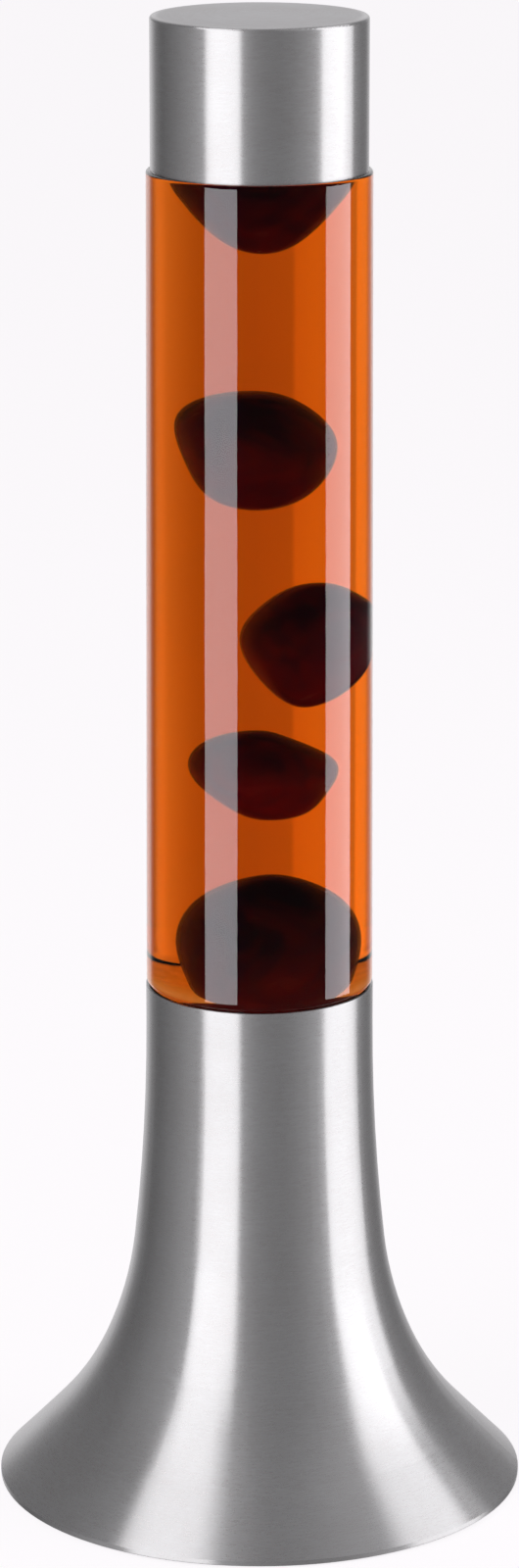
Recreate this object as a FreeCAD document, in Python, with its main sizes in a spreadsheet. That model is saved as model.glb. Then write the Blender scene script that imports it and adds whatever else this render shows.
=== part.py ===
import FreeCAD, Part
import math
import os
import Sketcher
from FreeCAD import Placement, Rotation, Vector

# Liquid motion lamp: flared spun base with a small reflector bulb in it, a glass bottle of
# coloured liquid and wax that stands in the base's neck, and a loose metal cap over the
# bottle's closure. Millimetres, +Z up, origin on the axis at the underside of the feet.

doc = FreeCAD.newDocument("MotionLamp")
sheet = doc.addObject("Spreadsheet::Sheet", "Dims")

DRIVING = [
    # base shell: straight neck, then four tangent arcs out to the rim
    ("neck_radius", 30.48, "outside radius of the base's neck"),
    ("neck_top", 139.8, "height of the neck's rim"),
    ("flare_start", 129.3, "height at which the neck starts to flare"),
    ("bend_a_radius", 547.159, "first bend of the flare"),
    ("bend_a_angle", 6.440, "degrees"),
    ("bend_b_radius", 98.957, "second bend"),
    ("bend_b_angle", 17.906, "degrees"),
    ("bend_c_radius", 77.483, "third bend"),
    ("bend_c_angle", 19.281, "degrees"),
    ("bend_d_radius", 891.979, "last bend, nearly straight"),
    ("rim_height", 0.5, "underside of the rim above the table"),
    ("lip_top", 1.9, "height at which the flare ends in its short upright lip"),
    ("shell_wall", 0.9, "spun wall"),
    ("rim_round", 0.25, "rounding of the rim and of the neck's edge"),
    # what stands in the neck
    ("seat_level", 139.5, "bottle's seat, the gasket's top"),
    ("gasket_inner", 27.75, "inside radius of the gasket"),
    ("gasket_bottom", 138.1, "gasket's foot on the sleeve"),
    ("sleeve_bottom", 126.0, "sleeve's foot on the seat ring"),
    ("ring_bottom", 122.5, "underside of the seat ring"),
    ("ring_inner", 23.0, "window of the seat ring"),
    # bottom plate and feet
    ("foot_radius", 6.0, "rubber foot"),
    ("foot_height", 3.0, "rubber foot"),
    ("foot_circle", 57.0, "radius of the feet's circle"),
    ("plate_radius", 65.5, "bottom plate"),
    ("plate_wall", 1.5, "bottom plate and bracket sheet"),
    ("slot_width", 4.0, "vent slot"),
    ("slot_inner", 20.0, "vent slot's near end"),
    ("slot_outer", 31.0, "vent slot's far end"),
    ("slot_count", 10, "vent slots"),
    ("lug_circle", 58.0, "circle of the bottom plate's screws"),
    ("lug_width", 11.0, "lug in the shell"),
    ("lug_inner", 53.0, "lug's inner face"),
    ("lug_top", 12.0, "lug's top"),
    ("screw_shank", 1.7, "bottom plate screw"),
    ("screw_head", 3.2, "bottom plate screw"),
    ("screw_head_height", 1.7, "bottom plate screw"),
    ("screw_end", 9.4, "tip of the bottom plate screw"),
    # holder bracket
    ("bracket_width", 24.0, "strip width"),
    ("bracket_leg", 32.0, "inside half-span of the legs"),
    ("bracket_foot", 48.0, "half-length over the feet"),
    ("bracket_web", 18.0, "underside of the web"),
    ("bracket_hole", 42.0, "foot screw position"),
    ("foot_screw_shank", 1.95, "bracket screw"),
    ("foot_screw_head", 3.4, "bracket screw"),
    ("foot_screw_head_height", 2.4, "bracket screw"),
    # lampholder
    ("nipple_radius", 4.9, "threaded nipple"),
    ("nipple_bore", 3.6, "threaded nipple"),
    ("nipple_bottom", 13.5, "threaded nipple"),
    ("nipple_top", 25.0, "threaded nipple"),
    ("washer_wall", 0.8, "washer"),
    ("washer_radius", 9.0, "washer"),
    ("nut_across", 14.0, "nut across flats"),
    ("nut_height", 3.0, "nut"),
    ("holder_radius", 13.5, "lampholder"),
    ("holder_wall", 1.6, "lampholder"),
    ("holder_floor", 3.0, "lower cap's floor"),
    ("holder_joint", 37.0, "joint of the lower cap and the body"),
    ("holder_top", 70.0, "lampholder's mouth"),
    ("block_bottom", 41.0, "contact block"),
    ("block_top", 48.5, "contact block"),
    ("socket_inner", 7.25, "inside of the screw shell"),
    ("socket_wall", 0.4, "screw shell"),
    ("socket_top", 66.0, "screw shell"),
    ("contact_top", 51.6, "top of the centre contact"),
    ("terminal_offset", 6.4, "terminal block position"),
    # bulb, drawn from its own tip
    ("bulb_tip", 51.8, "height of the bulb's tip"),
    ("bulb_length", 67.0, "bulb"),
    ("bulb_radius", 19.5, "bulb"),
    ("thread_major", 6.945, "screw cap's thread crest"),
    ("thread_minor", 6.145, "screw cap's thread root"),
    ("thread_pitch", 2.822, "screw cap's thread"),
    # bottle
    ("glass_radius", 30.37, "bottle outside, at its foot"),
    ("glass_top_radius", 29.55, "bottle outside, below the top cap"),
    ("glass_wall", 2.5, "bottle's wall"),
    ("glass_top", 359.1, "ledge that the top cap sits on"),
    ("heel_radius", 27.4, "bottle's heel inside the gasket"),
    ("heel_bottom", 132.3, "underside of the heel"),
    ("floor_level", 136.3, "inside floor of the bottle"),
    ("foot_round", 2.6, "rounding above the seat"),
    ("ledge_round", 0.8, "rounding of the ledge"),
    ("spigot_radius", 27.1, "bottle inside the top cap"),
    ("spigot_top", 364.5, "start of the shoulder"),
    ("neck_tube_radius", 12.4, "bottle's neck"),
    ("neck_tube_inner", 9.6, "bottle's neck"),
    ("neck_start", 379.0, "start of the neck"),
    ("neck_end", 391.0, "bottle's mouth"),
    ("finish_radius", 13.2, "lip that the crown cap grips"),
    ("finish_height", 5.0, "lip that the crown cap grips"),
    ("liquid_top", 371.0, "surface of the liquid"),
    ("crown_skirt", 15.9, "crown cap's skirt"),
    ("crown_wall", 0.3, "crown cap's sheet"),
    ("crown_height", 5.6, "crown cap"),
    ("crown_flutes", 21, "crown cap's flutes"),
    ("liner_wall", 0.6, "crown cap's liner"),
    # wire coil in the wax on the floor
    ("coil_radius", 9.3, "coil"),
    ("coil_wire", 0.8, "coil wire's radius"),
    ("coil_pitch", 2.6, "coil"),
    ("coil_height", 8.6, "coil"),
    # wax
    ("wax_clearance", 0.35, "liquid film round a floating blob"),
    ("mound_shift", 1.9, "wax mound's centre in x"),
    ("mound_level", 151.6, "height of the mound's widest section"),
    ("mound_half_width", 18.25, "mound"),
    ("mound_half_height", 20.2, "mound"),
    ("pool_bottom", 338.1, "lowest point of the top pool"),
    ("pool_edge_level", 357.0, "height of the pool's widest section"),
    ("pool_radius", 18.6, "pool"),
    ("pool_top", 368.0, "pool's top"),
    ("pool_tip_radius", 7.0, "pool's lower nose"),
    ("egg_shift", -0.9, "egg blob"),
    ("egg_level", 286.5, "egg blob"),
    ("egg_half_width", 15.8, "egg blob"),
    ("egg_half_height", 15.8, "egg blob"),
    ("egg_tilt", 8.0, "egg blob, degrees"),
    ("drop_shift", 11.0, "drop blob"),
    ("drop_level", 234.2, "drop blob"),
    ("drop_half_width", 15.8, "drop blob"),
    ("drop_half_height", 16.8, "drop blob"),
    ("lens_shift", 0.7, "lens blob"),
    ("lens_level", 199.1, "lens blob"),
    ("lens_half_width", 14.6, "lens blob"),
    ("lens_half_height", 12.2, "lens blob"),
    ("lens_tilt", 3.0, "lens blob, degrees"),
    # top cap
    ("cap_radius", 28.4, "top cap outside"),
    ("cap_wall", 0.8, "top cap"),
    ("cap_edge", 398.8, "height of the top cap's upper edge"),
    ("cap_crown", 1.2, "rise of the cap's disc"),
    ("cap_round", 0.7, "rounding of the cap's upper edge"),
    ("insert_bottom", 384.5, "centring ring in the cap"),
    ("insert_height", 6.0, "centring ring in the cap"),
    ("insert_inner", 16.4, "centring ring in the cap"),
    # cord grommet at the back
    ("grommet_level", 11.5, "grommet's axis"),
    ("grommet_radius", 6.0, "grommet"),
    ("grommet_groove", 4.8, "grommet's groove, the hole in the shell"),
    ("grommet_bore", 3.3, "grommet's bore"),
    ("grommet_inner", 44.0, "grommet's inner end"),
    ("grommet_lip", 1.6, "how far it stands out of the shell"),
]


class Size:
    """A number together with the sheet formula that gives it."""

    def __init__(self, value, text):
        self.value = float(value)
        self.text = text

    def __add__(self, other):
        other = size(other)
        return Size(self.value + other.value, "(%s + %s)" % (self.text, other.text))

    def __sub__(self, other):
        other = size(other)
        return Size(self.value - other.value, "(%s - %s)" % (self.text, other.text))

    def __mul__(self, other):
        other = size(other)
        return Size(self.value * other.value, "(%s * %s)" % (self.text, other.text))

    def __truediv__(self, other):
        other = size(other)
        return Size(self.value / other.value, "(%s / %s)" % (self.text, other.text))

    __radd__ = __add__

    def __rsub__(self, other):
        return size(other) - self

    def __rmul__(self, other):
        return self * other

    def __neg__(self):
        return Size(-self.value, "(0 - %s)" % self.text)


def size(value):
    if isinstance(value, Size):
        return value
    return Size(value, "%.6f" % value if value >= 0 else "(0 - %.6f)" % -value)


def cosine(angle):
    return Size(math.cos(math.radians(angle.value)), "cos(%s * 1 deg)" % angle.text)


def sine(angle):
    return Size(math.sin(math.radians(angle.value)), "sin(%s * 1 deg)" % angle.text)


def root(value):
    return Size(math.sqrt(value.value), "sqrt(%s)" % value.text)


D = {}
for row, (alias, value, note) in enumerate(DRIVING, start=1):
    sheet.set("A%d" % row, note)
    sheet.set("B%d" % row, str(value))
    sheet.setAlias("B%d" % row, alias)
    D[alias] = Size(value, "Dims.%s" % alias)
doc.recompute()


def bind(obj, path, value):
    obj.setExpression(path, size(value).text)


def place(obj, x=None, y=None, z=None):
    for axis, value in (("x", x), ("y", y), ("z", z)):
        if value is not None:
            bind(obj, ".Placement.Base.%s" % axis, value)
    return obj


def origin_plane(body, role):
    for feature in body.Origin.OriginFeatures:
        if feature.Role == role:
            return feature
    raise RuntimeError("no plane %s" % role)


def new_body(label):
    body = doc.addObject("PartDesign::Body", label)
    body.Label = label
    body.AllowCompound = True
    return body


def new_sketch(body, name, role):
    sketch = body.newObject("Sketcher::SketchObject", name)
    sketch.AttachmentSupport = [(origin_plane(body, role), "")]
    sketch.MapMode = "FlatFace"
    return sketch


def pin_point(sketch, geo, pos, x, y):
    """Fix a sketch point at the two sizes."""
    for kind, value, axis in (("DistanceX", size(x), -2), ("DistanceY", size(y), -1)):
        if abs(value.value) < 1e-9:
            sketch.addConstraint(Sketcher.Constraint("PointOnObject", geo, pos, axis))
        else:
            index = sketch.addConstraint(Sketcher.Constraint(kind, geo, pos, value.value))
            if "Dims." in value.text:
                bind(sketch, "Constraints[%d]" % index, value)


def outline(sketch, corners):
    """Closed outline. Each corner is (x, y) or (x, y, radius): with a radius, the segment that
    follows is an arc of that radius, its centre left of the way it runs (negative: right)."""
    count = len(corners)
    points = [(size(c[0]), size(c[1])) for c in corners]
    ends = []
    for i, corner in enumerate(corners):
        x0, y0 = points[i][0].value, points[i][1].value
        x1, y1 = points[(i + 1) % count][0].value, points[(i + 1) % count][1].value
        if len(corner) == 2:
            geo = sketch.addGeometry(Part.LineSegment(Vector(x0, y0, 0), Vector(x1, y1, 0)), False)
            ends.append((geo, 1, 2))
            continue
        radius = size(corner[2])
        side = 1.0 if radius.value > 0 else -1.0
        length = abs(radius.value)
        chord = math.hypot(x1 - x0, y1 - y0)
        rise = math.sqrt(max(length * length - chord * chord / 4.0, 0.0))
        cx = (x0 + x1) / 2.0 - side * rise * (y1 - y0) / chord
        cy = (y0 + y1) / 2.0 + side * rise * (x1 - x0) / chord
        start = math.atan2(y0 - cy, x0 - cx)
        stop = math.atan2(y1 - cy, x1 - cx)
        if side < 0:
            start, stop = stop, start
        if stop < start:
            stop += 2.0 * math.pi
        circle = Part.Circle(Vector(cx, cy, 0), Vector(0, 0, 1), length)
        geo = sketch.addGeometry(Part.ArcOfCircle(circle, start, stop), False)
        ends.append((geo, 1, 2) if side > 0 else (geo, 2, 1))
    for i in range(count):
        a, b = ends[i], ends[(i + 1) % count]
        sketch.addConstraint(Sketcher.Constraint("Coincident", a[0], a[2], b[0], b[1]))
    for i in range(count):
        pin_point(sketch, ends[i][0], ends[i][1], points[i][0], points[i][1])
    for i, corner in enumerate(corners):
        if len(corner) == 3:
            radius = size(corner[2])
            if radius.value < 0:
                radius = -radius
            index = sketch.addConstraint(Sketcher.Constraint("Radius", ends[i][0], radius.value))
            if "Dims." in radius.text:
                bind(sketch, "Constraints[%d]" % index, radius)


def turned(label, corners):
    """Body of revolution about Z from an outline of (radius, height) corners."""
    body = new_body(label)
    sketch = new_sketch(body, label + "_profile", "XZ_Plane")
    outline(sketch, corners)
    turn = body.newObject("PartDesign::Revolution", label + "_turn")
    turn.Profile = sketch
    turn.ReferenceAxis = (sketch, ["V_Axis"])
    turn.Angle = 360.0
    doc.recompute()
    return body


def ring(label, inner, outer, bottom, top):
    return turned(label, [(inner, bottom), (outer, bottom), (outer, top), (inner, top)])


def circle_sketch(body, name, role, circles):
    sketch = new_sketch(body, name, role)
    for x, y, radius in circles:
        x, y, radius = size(x), size(y), size(radius)
        geo = sketch.addGeometry(Part.Circle(Vector(x.value, y.value, 0), Vector(0, 0, 1),
                                             radius.value), False)
        pin_point(sketch, geo, 3, x, y)
        index = sketch.addConstraint(Sketcher.Constraint("Radius", geo, radius.value))
        bind(sketch, "Constraints[%d]" % index, radius)
    return sketch


def cut_through(body, name, sketch):
    """Pocket both ways through everything, with the loss of volume checked."""
    before = body.Shape.Volume
    pocket = body.newObject("PartDesign::Pocket", name)
    pocket.Profile = sketch
    pocket.Type = "ThroughAll"
    pocket.SideType = "Symmetric"
    doc.recompute()
    if not pocket.Shape.Volume < before - 1e-3:
        raise RuntimeError("%s cut nothing" % name)
    return pocket


def around(body, name, feature, count):
    """Repeat a feature about the body's own Z axis."""
    for item in body.Origin.OriginFeatures:
        if item.Role == "Z_Axis":
            axis = item
    pattern = body.newObject("PartDesign::PolarPattern", name)
    pattern.Originals = [feature]
    pattern.Axis = (axis, [""])
    pattern.Angle = 360.0
    pattern.Occurrences = int(size(count).value)
    if "Dims." in size(count).text:
        bind(pattern, "Occurrences", count)
    body.Tip = pattern
    doc.recompute()
    return pattern


def round_edges(body, name, spots, radius):
    """Fillet of the circular edges at the given (radius, height) spots."""
    base = body.Tip
    names = []
    for i, edge in enumerate(base.Shape.Edges, start=1):
        curve = edge.Curve
        if not isinstance(curve, Part.Circle):
            continue
        for spot_radius, spot_height in spots:
            if (abs(curve.Radius - size(spot_radius).value) < 0.02
                    and abs(curve.Center.z - size(spot_height).value) < 0.02
                    and math.hypot(curve.Center.x, curve.Center.y) < 0.02):
                names.append("Edge%d" % i)
    if len(names) < len(spots):
        raise RuntimeError("%s: %d edges for %d spots" % (name, len(names), len(spots)))
    fillet = body.newObject("PartDesign::Fillet", name)
    fillet.Base = (base, names)
    bind(fillet, "Radius", radius)
    doc.recompute()
    return fillet


def cylinder(name, radius, height, x=None, y=None, z=None):
    item = doc.addObject("Part::Cylinder", name)
    bind(item, "Radius", radius)
    bind(item, "Height", height)
    return place(item, x, y, z)


def box(name, length, width, height, x=None, y=None, z=None):
    item = doc.addObject("Part::Box", name)
    bind(item, "Length", length)
    bind(item, "Width", width)
    bind(item, "Height", height)
    return place(item, x, y, z)


def cut(label, base, *tools):
    for i, tool in enumerate(tools):
        item = doc.addObject("Part::Cut", label if i == len(tools) - 1 else "%s_cut%d" % (label, i))
        item.Base = base
        item.Tool = tool
        base = item
    base.Label = label
    return base


def fuse(label, *items):
    item = doc.addObject("Part::MultiFuse", label)
    item.Shapes = list(items)
    item.Label = label
    return item


def common(label, base, tool):
    item = doc.addObject("Part::Common", label)
    item.Base = base
    item.Tool = tool
    item.Label = label
    return item


def group(label, items):
    item = doc.addObject("Part::Compound", label)
    item.Links = list(items)
    item.Label = label
    return item


def turn_about_z(obj, degrees):
    obj.Placement = Placement(Vector(0, 0, 0), Rotation(Vector(0, 0, 1), degrees))
    return obj


# ---------------------------------------------------------------- base shell

def flare(offset, end_height, end_radius=None):
    """Corners of the shell's profile, moved inwards by offset, from the neck's top to the
    given height at the rim, or to the given radius. The four arcs keep their centres."""
    offset = size(offset)
    bends = [("bend_a_radius", "bend_a_angle"), ("bend_b_radius", "bend_b_angle"),
             ("bend_c_radius", "bend_c_angle"), ("bend_d_radius", None)]
    corners = [(D["neck_radius"] - offset, D["neck_top"])]
    centre = (D["neck_radius"] + D[bends[0][0]], D["flare_start"])
    lean = None
    start = (D["neck_radius"] - offset, D["flare_start"])
    for i, (radius_name, angle_name) in enumerate(bends):
        radius = D[radius_name] + offset
        corners.append((start[0], start[1], radius))
        if angle_name is None:
            if end_radius is None:
                drop = centre[1] - end_height
                end = (centre[0] - root(radius * radius - drop * drop), size(end_height))
            else:
                reach = centre[0] - end_radius
                end = (end_radius, centre[1] - root(radius * radius - reach * reach))
            corners.append(end)
            break
        lean = D[angle_name] if lean is None else lean + D[angle_name]
        start = (centre[0] - radius * cosine(lean), centre[1] - radius * sine(lean))
        change = D[bends[i + 1][0]] - D[radius_name]
        centre = (centre[0] + change * cosine(lean), centre[1] + change * sine(lean))
    return corners


def reverse_path(corners):
    """The same path run the other way: arc radii move to their new starting corner."""
    flipped = []
    for i in range(len(corners) - 1, -1, -1):
        point = (corners[i][0], corners[i][1])
        if i > 0 and len(corners[i - 1]) == 3:
            point = point + (-corners[i - 1][2],)
        flipped.append(point)
    return flipped


# the flare ends above the rim, in an upright lip of the wall's thickness
outer_path = flare(0.0, D["lip_top"])
rim_outer = outer_path[-1][0]
rim_inner = rim_outer - D["shell_wall"]
inner_path = flare(D["shell_wall"], None, rim_inner)
base_shell = turned("base_shell", outer_path + [(rim_outer, D["rim_height"]),
                    (rim_inner, D["rim_height"])] + reverse_path(inner_path))
round_edges(base_shell, "rim_rounding", [(rim_outer, D["rim_height"]),
            (rim_inner, D["rim_height"]), (D["neck_radius"], D["neck_top"]),
            (D["neck_radius"] - D["shell_wall"], D["neck_top"])], D["rim_round"])

# hole for the grommet, cut only through the back wall
grommet_hole = circle_sketch(base_shell, "grommet_hole", "XZ_Plane",
                             [(0, D["grommet_level"], D["grommet_groove"])])
full = base_shell.Shape.Volume
grommet_cut = base_shell.newObject("PartDesign::Pocket", "grommet_cut")
grommet_cut.Profile = grommet_hole
grommet_cut.Type = "ThroughAll"
grommet_cut.Reversed = False
doc.recompute()
if base_shell.Shape.common(Part.makeBox(2, 40, 2, Vector(-1, 40, 10.5))).Volume > 1e-6:
    grommet_cut.Reversed = True
    doc.recompute()
if not base_shell.Shape.Volume < full - 10.0:
    raise RuntimeError("grommet hole cut nothing")

# space inside the shell, a tool for the pieces that follow its wall
core = turned("shell_core", reverse_path(flare(D["shell_wall"], D["rim_height"]))
              + [(0, D["neck_top"]), (0, D["rim_height"])])
# the shell's outer form moved out by the grommet's lip, a tool too
skin = turned("grommet_skin", reverse_path(flare(-D["grommet_lip"], D["rim_height"]))
              + [(0, D["neck_top"]), (0, D["rim_height"])])

# ---------------------------------------------------------------- in the neck

neck_inner = D["neck_radius"] - D["shell_wall"]
bottle_gasket = turned("bottle_gasket", [
    (D["gasket_inner"], D["gasket_bottom"]), (neck_inner, D["gasket_bottom"]),
    (neck_inner, D["seat_level"]), (D["gasket_inner"], D["seat_level"])])
seat_sleeve = ring("seat_sleeve", D["gasket_inner"], neck_inner, D["sleeve_bottom"],
                   D["gasket_bottom"])
# the ring lies against the wall where the neck has begun to flare, so it is cut to the core
seat_blank = turned("seat_blank", [
    (D["ring_inner"], D["ring_bottom"]), (neck_inner + 1.5, D["ring_bottom"]),
    (neck_inner + 1.5, D["sleeve_bottom"]), (D["ring_inner"] + 1.2, D["sleeve_bottom"]),
    (D["ring_inner"], D["sleeve_bottom"] - 1.2)])
seat_ring = common("seat_ring", seat_blank, core)

# ---------------------------------------------------------------- bottom plate, feet, lugs

plate_bottom = D["foot_height"]
plate_top = D["foot_height"] + D["plate_wall"]

bottom_plate = new_body("bottom_plate")
plate_outline = circle_sketch(bottom_plate, "plate_outline", "XY_Plane",
                              [(0, 0, D["plate_radius"])])
plate_pad = bottom_plate.newObject("PartDesign::Pad", "plate_pad")
plate_pad.Profile = plate_outline
bind(plate_pad, "Length", D["plate_wall"])
place(bottom_plate, z=plate_bottom)
doc.recompute()
slot_sketch = new_sketch(bottom_plate, "vent_slot", "XY_Plane")
half_slot = D["slot_width"] / 2
outline(slot_sketch, [
    (D["slot_inner"], -half_slot), (D["slot_outer"], -half_slot, half_slot * 1.0001),
    (D["slot_outer"], half_slot), (D["slot_inner"], half_slot, half_slot * 1.0001)])
slot_cut = cut_through(bottom_plate, "vent_cut", slot_sketch)
around(bottom_plate, "vent_pattern", slot_cut, D["slot_count"])
lug_x = D["lug_circle"] * cosine(size(30.0))
lug_y = D["lug_circle"] * sine(size(30.0))
screw_holes = circle_sketch(bottom_plate, "screw_hole", "XY_Plane",
                            [(lug_x, lug_y, D["screw_shank"] + 0.2)])
around(bottom_plate, "screw_hole_pattern",
       cut_through(bottom_plate, "screw_hole_cut", screw_holes), 3)
middle_holes = circle_sketch(bottom_plate, "bracket_hole_pair", "XY_Plane", [
    (D["bracket_hole"], 0, D["foot_screw_shank"]),
    (-D["bracket_hole"], 0, D["foot_screw_shank"])])
cut_through(bottom_plate, "bracket_hole_cut", middle_holes)

feet = []
for i in range(4):
    angle = size(45.0 + 90.0 * i)
    feet.append(cylinder("foot_%d" % i, D["foot_radius"], D["foot_height"],
                         x=D["foot_circle"] * cosine(angle), y=D["foot_circle"] * sine(angle)))
rubber_feet = group("rubber_feet", feet)

lugs, screws = [], []
for i in range(3):
    turn = 30.0 + 120.0 * i
    block = box("lug_block_%d" % i, 20.0, D["lug_width"], D["lug_top"] - plate_top,
                x=D["lug_inner"], y=-(D["lug_width"] / 2), z=plate_top)
    hole = cylinder("lug_hole_%d" % i, D["screw_shank"], 8.0, x=D["lug_circle"],
                    z=plate_top - 1.0)
    blank = cut("lug_blank_%d" % i, block, hole)
    lug = common("lug_%d" % i, blank, core)
    head = cylinder("screw_head_%d" % i, D["screw_head"], D["screw_head_height"],
                    x=D["lug_circle"], z=plate_bottom - D["screw_head_height"])
    shank = cylinder("screw_shank_%d" % i, D["screw_shank"], D["screw_end"] - plate_bottom + 0.5,
                     x=D["lug_circle"], z=plate_bottom - 0.5)
    drive = box("screw_drive_a_%d" % i, 4.4, 0.9, 1.0, x=D["lug_circle"] - 2.2, y=size(-0.45),
                z=plate_bottom - D["screw_head_height"] - 0.1)
    cross = box("screw_drive_b_%d" % i, 0.9, 4.4, 1.0, x=D["lug_circle"] - 0.45, y=size(-2.2),
                z=plate_bottom - D["screw_head_height"] - 0.1)
    screw = cut("plate_screw_%d" % i, fuse("plate_screw_blank_%d" % i, head, shank), drive, cross)
    lug_turned = doc.addObject("Part::Compound", "lug_turned_%d" % i)
    lug_turned.Links = [lug]
    turn_about_z(lug_turned, turn)
    screw_turned = doc.addObject("Part::Compound", "screw_turned_%d" % i)
    screw_turned.Links = [screw]
    turn_about_z(screw_turned, turn)
    lugs.append(lug_turned)
    screws.append(screw_turned)
plate_lugs = group("plate_lugs", lugs)
plate_screws = group("plate_screws", screws)

# ---------------------------------------------------------------- holder bracket

web_under = D["bracket_web"]
web_top = D["bracket_web"] + D["plate_wall"]
leg_in = D["bracket_leg"]
leg_out = D["bracket_leg"] + D["plate_wall"]
foot_top = plate_top + D["plate_wall"]
bend_in = size(1.0)
bend_out = bend_in + D["plate_wall"]
holder_bracket = new_body("holder_bracket")
strip = new_sketch(holder_bracket, "bracket_strip", "XZ_Plane")
right_side = [
    (D["bracket_foot"], plate_top), (D["bracket_foot"], foot_top),
    (leg_out + bend_in, foot_top, -bend_in), (leg_out, foot_top + bend_in),
    (leg_out, web_top - bend_out, bend_out), (leg_out - bend_out, web_top)]
left_side = [
    (-(leg_out - bend_out), web_top, bend_out), (-leg_out, web_top - bend_out),
    (-leg_out, foot_top + bend_in, -bend_in), (-(leg_out + bend_in), foot_top),
    (-D["bracket_foot"], foot_top), (-D["bracket_foot"], plate_top),
    (-(leg_in + bend_out), plate_top, bend_out), (-leg_in, plate_top + bend_out),
    (-leg_in, web_under - bend_in, -bend_in), (-(leg_in - bend_in), web_under)]
under_side = [
    (leg_in - bend_in, web_under, -bend_in), (leg_in, web_under - bend_in),
    (leg_in, plate_top + bend_out, bend_out), (leg_in + bend_out, plate_top)]
outline(strip, right_side + left_side + under_side)
strip_pad = holder_bracket.newObject("PartDesign::Pad", "bracket_pad")
strip_pad.Profile = strip
strip_pad.SideType = "Symmetric"
bind(strip_pad, "Length", D["bracket_width"])
doc.recompute()
bracket_holes = circle_sketch(holder_bracket, "bracket_holes", "XY_Plane", [
    (D["bracket_hole"], 0, D["foot_screw_shank"]), (-D["bracket_hole"], 0, D["foot_screw_shank"]),
    (0, 0, D["nipple_radius"] + 0.1)])
cut_through(holder_bracket, "bracket_cut", bracket_holes)

foot_screws = []
for i, side in enumerate((1.0, -1.0)):
    x = D["bracket_hole"] * side
    head = cylinder("foot_screw_head_%d" % i, D["foot_screw_head"], D["foot_screw_head_height"],
                    x=x, z=foot_top)
    shank = cylinder("foot_screw_shank_%d" % i, D["foot_screw_shank"],
                     foot_top - plate_bottom + 1.2, x=x, z=plate_bottom - 0.6)
    slot = box("foot_screw_slot_%d" % i, 9.0, 1.0, 1.2, x=x - 4.5, y=size(-0.5),
               z=foot_top + D["foot_screw_head_height"] - 1.1)
    foot_screws.append(cut("foot_screw_%d" % i,
                           fuse("foot_screw_blank_%d" % i, head, shank), slot))
bracket_screws = group("bracket_screws", foot_screws)

# ---------------------------------------------------------------- lampholder

nipple_washer = ring("nipple_washer", D["nipple_radius"] + 0.1, D["washer_radius"], web_top,
                     web_top + D["washer_wall"])
threaded_nipple = turned("threaded_nipple", [
    (D["nipple_bore"], D["nipple_bottom"]), (D["nipple_radius"] - 0.5, D["nipple_bottom"]),
    (D["nipple_radius"], D["nipple_bottom"] + 0.5), (D["nipple_radius"], D["nipple_top"] - 0.5),
    (D["nipple_radius"] - 0.5, D["nipple_top"]), (D["nipple_bore"], D["nipple_top"])])

nut_blank = doc.addObject("Part::Prism", "nut_blank")
nut_blank.Polygon = 6
bind(nut_blank, "Circumradius", D["nut_across"] / math.sqrt(3.0))
bind(nut_blank, "Height", D["nut_height"])
place(nut_blank, z=web_under - D["nut_height"])
nut_hole = cylinder("nut_hole", D["nipple_radius"], D["nut_height"] + 2.0,
                    z=web_under - D["nut_height"] - 1.0)
nipple_nut = cut("nipple_nut", nut_blank, nut_hole)

holder_bottom = web_top + D["washer_wall"]
holder_inner = D["holder_radius"] - D["holder_wall"]
lampholder_cap = turned("lampholder_cap", [
    (D["nipple_radius"] + 0.1, holder_bottom), (D["holder_radius"] - 2.0, holder_bottom, 2.0),
    (D["holder_radius"], holder_bottom + 2.0), (D["holder_radius"], D["holder_joint"]),
    (holder_inner, D["holder_joint"]), (holder_inner, holder_bottom + D["holder_floor"]),
    (D["nipple_radius"] + 0.1, holder_bottom + D["holder_floor"])])
lampholder_body = turned("lampholder_body", [
    (holder_inner - 1.3, D["holder_joint"] - 4.0), (holder_inner, D["holder_joint"] - 4.0),
    (holder_inner, D["holder_joint"]), (D["holder_radius"], D["holder_joint"]),
    (D["holder_radius"], D["holder_top"] - 1.0, 1.0), (D["holder_radius"] - 1.0, D["holder_top"]),
    (D["socket_inner"] + 1.2, D["holder_top"]), (D["socket_inner"] + 1.2, D["socket_top"] + 0.5),
    (holder_inner - 1.3, D["socket_top"] - 1.0)])

contact_block = new_body("lampholder_contact_block")
block_disc = circle_sketch(contact_block, "block_disc", "XY_Plane",
                           [(0, 0, holder_inner - 1.3)])
block_pad = contact_block.newObject("PartDesign::Pad", "block_pad")
block_pad.Profile = block_disc
bind(block_pad, "Length", D["block_top"] - D["block_bottom"])
place(contact_block, z=D["block_bottom"])
doc.recompute()
lead_holes = circle_sketch(contact_block, "lead_holes", "XY_Plane", [
    (D["terminal_offset"], 0, 1.2), (-D["terminal_offset"], 0, 1.2)])
cut_through(contact_block, "lead_cut", lead_holes)

lampholder_screw_shell = turned("lampholder_screw_shell", [
    (D["socket_inner"] - 1.5, D["block_top"]), (D["socket_inner"] + 1.8, D["block_top"]),
    (D["socket_inner"] + 1.8, D["block_top"] + D["socket_wall"]),
    (D["socket_inner"] + D["socket_wall"], D["block_top"] + D["socket_wall"]),
    (D["socket_inner"] + D["socket_wall"], D["socket_top"]),
    (D["socket_inner"], D["socket_top"]),
    (D["socket_inner"], D["block_top"] + D["socket_wall"]),
    (D["socket_inner"] - 1.5, D["block_top"] + D["socket_wall"])])

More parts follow.
